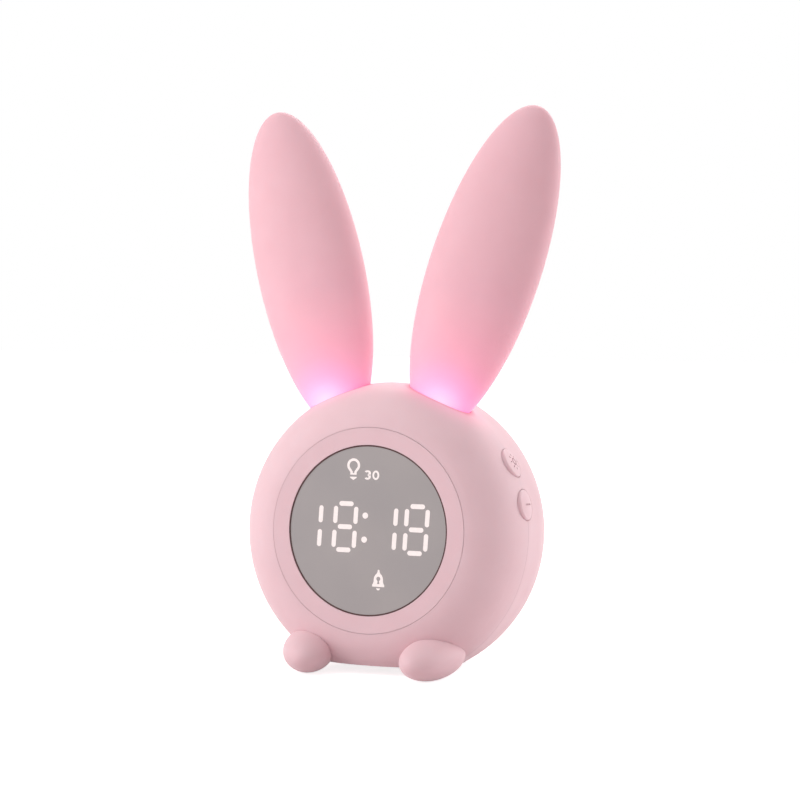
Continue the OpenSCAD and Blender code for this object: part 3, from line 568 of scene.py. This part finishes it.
def digit_eight(x):
    sides = [upright(x + side * DIGIT_W / 2, z) for side in (-1, 1) for z in UPRIGHT_Z]
    return sides + [level(x, z) for z in (DIGIT_H / 2, 0, -DIGIT_H / 2)]


def eighteen(one_x, eight_x):
    return digit_one(one_x) + digit_eight(eight_x)


def colon():
    """Two dots, which lean half as much as the digits."""
    return [disc(COLON_X + z * math.tan(DIGIT_SLANT) / 2, z, COLON_R) for z in COLON_Z]


def bulb():
    """A lamp bulb, about the middle of its glass."""
    glass = mirrored(arc(0, 0, 2.45, 90, -42) + [(1.2, -2.35), (1.2, -3.3)])
    hollow = mirrored(arc(0, 0, 1.55, 90, -50) + [(0.32, -2.2), (0.25, -2.75)])
    cap = mirrored([(1.25, -4), (1.2, -4.4), (0.45, -4.85), (0.15, -5.1)])
    return [glass, hollow, cap]


def bell():
    """A bell with a keyhole, about the middle of its lower edge."""
    knob = arc(0, 6.1, 0.42, 90, -30, steps=5)
    dome = [(0.75, 5.0), (1.25, 4.55), (1.7, 3.8), (1.88, 2.9), (1.95, 1.9), (2.15, 1.25),
            (2.5, 0.75), (2.5, 0)]
    keyhole = mirrored(arc(0, 3.05, 0.82, 90, -60, steps=6) + [(0.3, 2.0), (0.5, 1.1)])
    clapper = mirrored([(0.8, -0.55)] + arc(0, -0.6, 0.75, -20, -80, steps=4))
    return [mirrored(knob + dome), keyhole, clapper]


def figure_three():
    """A bold 3, as two open bowls that share a middle stroke."""
    outer_r = FIGURE_H / 4 + FIGURE_T / 4
    inner_r = outer_r - FIGURE_T
    top_y = FIGURE_H / 2 - outer_r
    low_y = outer_r - FIGURE_H / 2
    outline = (arc(0, top_y, outer_r, 150, -70, FIGURE_STEPS)
               + arc(0, low_y, outer_r, 70, -150, FIGURE_STEPS)
               + arc(0, low_y, inner_r, -150, 80, FIGURE_STEPS)
               + arc(0, top_y, inner_r, -80, 150, FIGURE_STEPS))
    return [[(x * FIGURE_W / (2 * outer_r), y) for x, y in outline]]


def figure_nought():
    inner_w = FIGURE_W - 2 * FIGURE_T
    inner_h = FIGURE_H - 2 * FIGURE_T
    outer = [(x * FIGURE_W / FIGURE_H, y) for x, y in disc(0, 0, FIGURE_H / 2)]
    inner = [(x * inner_w / inner_h, y) for x, y in disc(0, 0, inner_h / 2)]
    return [outer, inner]


def sign_at(outlines, place, scale=1):
    return [moved(outline, *place, scale) for outline in outlines]


SIGNS = {
    "hour_digits": eighteen(*HOURS_X),
    "minute_digits": eighteen(*MINUTES_X),
    "colon_dots": colon(),
    "bulb_sign": sign_at(bulb(), BULB_AT),
    "timer_figures": sign_at(figure_three(), THREE_AT) + sign_at(figure_nought(), NOUGHT_AT),
    "bell_sign": sign_at(bell(), BELL_AT, BELL_SCALE),
}


def lit_piece(name, outlines):
    """A lit shape that lies on the front of the display disc."""
    mesh = prism(name, outlines, SIGN_T)
    mesh.transform(FACE @ Matrix.Translation((0, 0, SIGN_T / 2)))
    set_material(mesh, lit)
    add_piece(name, mesh, "clock")


for name, outlines in SIGNS.items():
    lit_piece(name, outlines)


# ---- Side buttons with their engraved signs ------------------------------------------------------

# Heights along a button's axis start in the middle of the body, at its seam
BUTTON_R = 5.5
BUTTON_CROWN = 53.78
BUTTON_DOME = 0.8
BUTTON_EDGE = 0.7
CROWN_RADII = (4.2, 3.4, 2.3, 1.2, 0)
FLANGE_TOP = 48.67
FLANGE_R = 6.3
FLANGE_T = 1.2
STEM_END = 45.27
STEM_R = 1.5
BUTTON_STEPS = 96
EDGE_STEPS = 8
CREASE_ANGLE = math.radians(38)
JOIN_DISTANCE = 1e-5

ENGRAVE_DEPTH = 0.35
CUTTER_T = 2
LIGHT_ANGLE = 29.2
MINUS_ANGLE = 12.3

SUN_OUTER_R = 1.4
SUN_INNER_R = 0.9
RAYS = 8
RAY_AT = 2.6
RAY_L = 0.95
RAY_W = 0.5
MINUS_L = 4.9
MINUS_W = 0.6

# A sign's right and up are a button's rearward and upward, for someone who looks at its crown
READING = Matrix(((0, -1, 0, 0), (1, 0, 0, 0), (0, 0, 1, 0), (0, 0, 0, 1)))


def dome_height(r):
    return BUTTON_CROWN - BUTTON_DOME * (r / BUTTON_R) ** 2


def button_profile():
    """Half a section through a button, from the foot of its stem to the middle of its crown."""
    rim = BUTTON_R - BUTTON_EDGE
    flange_base = FLANGE_TOP - FLANGE_T
    stem = [(0, STEM_END), (STEM_R, STEM_END), (STEM_R, flange_base)]
    flange = [(FLANGE_R, flange_base), (FLANGE_R, FLANGE_TOP), (BUTTON_R, FLANGE_TOP)]
    edge = arc(rim, dome_height(rim) - BUTTON_EDGE, BUTTON_EDGE, 0, 90, EDGE_STEPS)
    return stem + flange + edge + [(r, dome_height(r)) for r in CROWN_RADII]


def closed(form, mesh):
    """Writes a bmesh form to a mesh, with its loose edges joined and its faces outward."""
    bmesh.ops.remove_doubles(form, verts=form.verts, dist=JOIN_DISTANCE)
    bmesh.ops.recalc_face_normals(form, faces=form.faces)
    form.to_mesh(mesh)
    form.free()
    return mesh


def lathe(name, profile, steps):
    """A closed solid turned about Z from a profile that starts and ends on the axis."""
    form = bmesh.new()
    rings = []
    for r, z in profile:
        angles = [2 * math.pi * i / steps for i in range(steps if r else 1)]
        rings.append([form.verts.new((r * math.cos(a), r * math.sin(a), z)) for a in angles])
    for low, high in zip(rings, rings[1:]):
        for i in range(steps):
            j = (i + 1) % steps
            corners = [low[i % len(low)], low[j % len(low)],
                       high[j % len(high)], high[i % len(high)]]
            form.faces.new(list(dict.fromkeys(corners)))
    return closed(form, bpy.data.meshes.new(name))


def sun():
    """A small ring with short rays."""
    turns = [2 * math.pi * i / RAYS for i in range(RAYS)]
    rays = [bar(RAY_AT * math.cos(a), RAY_AT * math.sin(a), RAY_L, RAY_W, a) for a in turns]
    return [disc(0, 0, SUN_OUTER_R), disc(0, 0, SUN_INNER_R)] + rays


def minus():
    return [bar(0, 0, MINUS_L, MINUS_W, 0)]


def sign_cutter(name, outlines):
    """A closed solid of a sign, which reaches ENGRAVE_DEPTH below a button's crown."""
    cutter = prism(name + "_sign", outlines, CUTTER_T)
    height = BUTTON_CROWN - ENGRAVE_DEPTH + CUTTER_T / 2
    cutter.transform(Matrix.Translation((0, 0, height)) @ READING)
    set_material(cutter, groove_pink)
    form = bmesh.new()
    form.from_mesh(cutter)
    return add_object(name + "_tool", closed(form, cutter))


def engraved_button(name, angle, outlines):
    """A button's cap with its sign cut into the crown, in the place of the plain CAD button."""
    tool = sign_cutter(name, outlines)
    blank = lathe(name + "_blank", button_profile(), BUTTON_STEPS)
    set_material(blank, button_pink)
    cap = add_object(name + "_cap_blank", blank)
    engraving = cap.modifiers.new("engraving", "BOOLEAN")
    engraving.object = tool
    engraving.operation = "DIFFERENCE"
    engraving.solver = "EXACT"
    engraving.material_mode = "TRANSFER"
    mesh = baked(cap)
    bpy.data.objects.remove(tool)
    outward = Matrix.Rotation(math.radians(90 - angle), 4, "Y")
    mesh.transform(STANCE @ Matrix.Translation((0, SEAM_Y, 0)) @ outward)
    mesh.polygons.foreach_set("use_smooth", [True] * len(mesh.polygons))
    mesh.set_sharp_from_angle(angle=CREASE_ANGLE)
    piece = add_piece(name + "_cap", mesh, name.replace("_button", "_key"))
    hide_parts(name)


engraved_button("light_button", LIGHT_ANGLE, sun())
engraved_button("minus_button", MINUS_ANGLE, minus())


# ---- Camera, light and floor ---------------------------------------------------------------------

CAMERA_AZIMUTH = math.radians(22.12)
CAMERA_PITCH = math.radians(3.444)
CAMERA_DISTANCE = 800
CAMERA_ASIDE = 1.24
CAMERA_RISE = 46.738
CAMERA_LENS = 99.94
SENSOR_WIDTH = 36
CLIP_START = 0.01

# Square soft lamps round the clock: azimuth from the front towards the right, elevation, and watts
SOFTBOXES = {
    "left_softbox": (-60, 12, 3.2),
    "high_front_softbox": (-40, 50, 1.7),
    "right_softbox": (120, 12, 3.0),
    "high_rear_softbox": (180, 50, 3.1),
}
SOFTBOX_TARGET = Vector((0, 0, 95))
SOFTBOX_SIZE = 600
SOFTBOX_DISTANCE = 900
AMBIENT = 0.59

FLOOR_HALF = 2.5
FLOOR_COLOUR = (0.76, 0.69, 0.70, 1)
FLOOR_GLOW = 0.02
FLOOR_SEEN_GLOW = 0.78


def direction(azimuth, elevation):
    """A unit vector away from the clock, from its front towards the right and up, in radians."""
    return Vector((math.sin(azimuth) * math.cos(elevation),
                   -math.cos(azimuth) * math.cos(elevation), math.sin(elevation)))


def add_camera():
    back = direction(CAMERA_AZIMUTH, CAMERA_PITCH)
    right = Vector((math.cos(CAMERA_AZIMUTH), math.sin(CAMERA_AZIMUTH), 0))
    up = back.cross(right)
    place = BODY_CENTRE + CAMERA_DISTANCE * back + CAMERA_ASIDE * right + CAMERA_RISE * up
    data = bpy.data.cameras.new("camera")
    data.lens = CAMERA_LENS
    data.sensor_width = SENSOR_WIDTH
    data.clip_start = CLIP_START
    camera = add_object("camera", data)
    turn = Matrix((right, up, back)).transposed().to_4x4()
    camera.matrix_world = Matrix.Translation(place * MM) @ turn
    bpy.context.scene.camera = camera


def add_softbox(name, azimuth, elevation, watts):
    outward = direction(math.radians(azimuth), math.radians(elevation))
    data = bpy.data.lights.new(name, "AREA")
    data.shape = "SQUARE"
    data.size = SOFTBOX_SIZE * MM
    data.energy = watts
    lamp = add_object(name, data)
    place = (SOFTBOX_TARGET + SOFTBOX_DISTANCE * outward) * MM
    turn = outward.to_track_quat("Z", "Y").to_matrix().to_4x4()
    lamp.matrix_world = Matrix.Translation(place) @ turn


def seen_strength(tree, seen, unseen):
    """One strength for what the camera, gloss and glass see, and another for other light."""
    path = add_node(tree, "LightPath")
    total = path.outputs["Is Camera Ray"]
    for kind in ("Is Glossy Ray", "Is Transmission Ray"):
        feeds = {0: total, 1: path.outputs[kind]}
        total = add_node(tree, "Math", feeds, operation="MAXIMUM").outputs[0]
    feeds = {"Value": total, "To Min": unseen, "To Max": seen}
    return add_node(tree, "MapRange", feeds).outputs[0]


def add_world():
    world = bpy.data.worlds.new("studio")
    bpy.context.scene.world = world
    world.use_nodes = True
    tree = world.node_tree
    light = tree.nodes["Background"]
    light.inputs["Color"].default_value = WHITE
    feed(tree, light.inputs["Strength"], seen_strength(tree, 1, AMBIENT))


def add_floor():
    """A pale lit table, which the camera sees as white but for the clock's own faint shadow."""
    corners = [(-FLOOR_HALF, -FLOOR_HALF, 0), (FLOOR_HALF, -FLOOR_HALF, 0),
               (FLOOR_HALF, FLOOR_HALF, 0), (-FLOOR_HALF, FLOOR_HALF, 0)]
    mesh = bpy.data.meshes.new("floor")
    mesh.from_pydata(corners, [], [(0, 1, 2, 3)])
    recipe = Recipe("floor_white", Base_Color=FLOOR_COLOUR, Roughness=0.9, Specular_IOR_Level=0,
                    Emission_Color=WHITE)
    recipe.set(Emission_Strength=seen_strength(recipe.tree, FLOOR_SEEN_GLOW, FLOOR_GLOW))
    mesh.materials.append(recipe.material)
    floor = add_object("floor", mesh)


add_camera()
add_world()
add_floor()
for name, (azimuth, elevation, watts) in SOFTBOXES.items():
    add_softbox(name, azimuth, elevation, watts)
bpy.context.scene.view_settings.view_transform = "Standard"
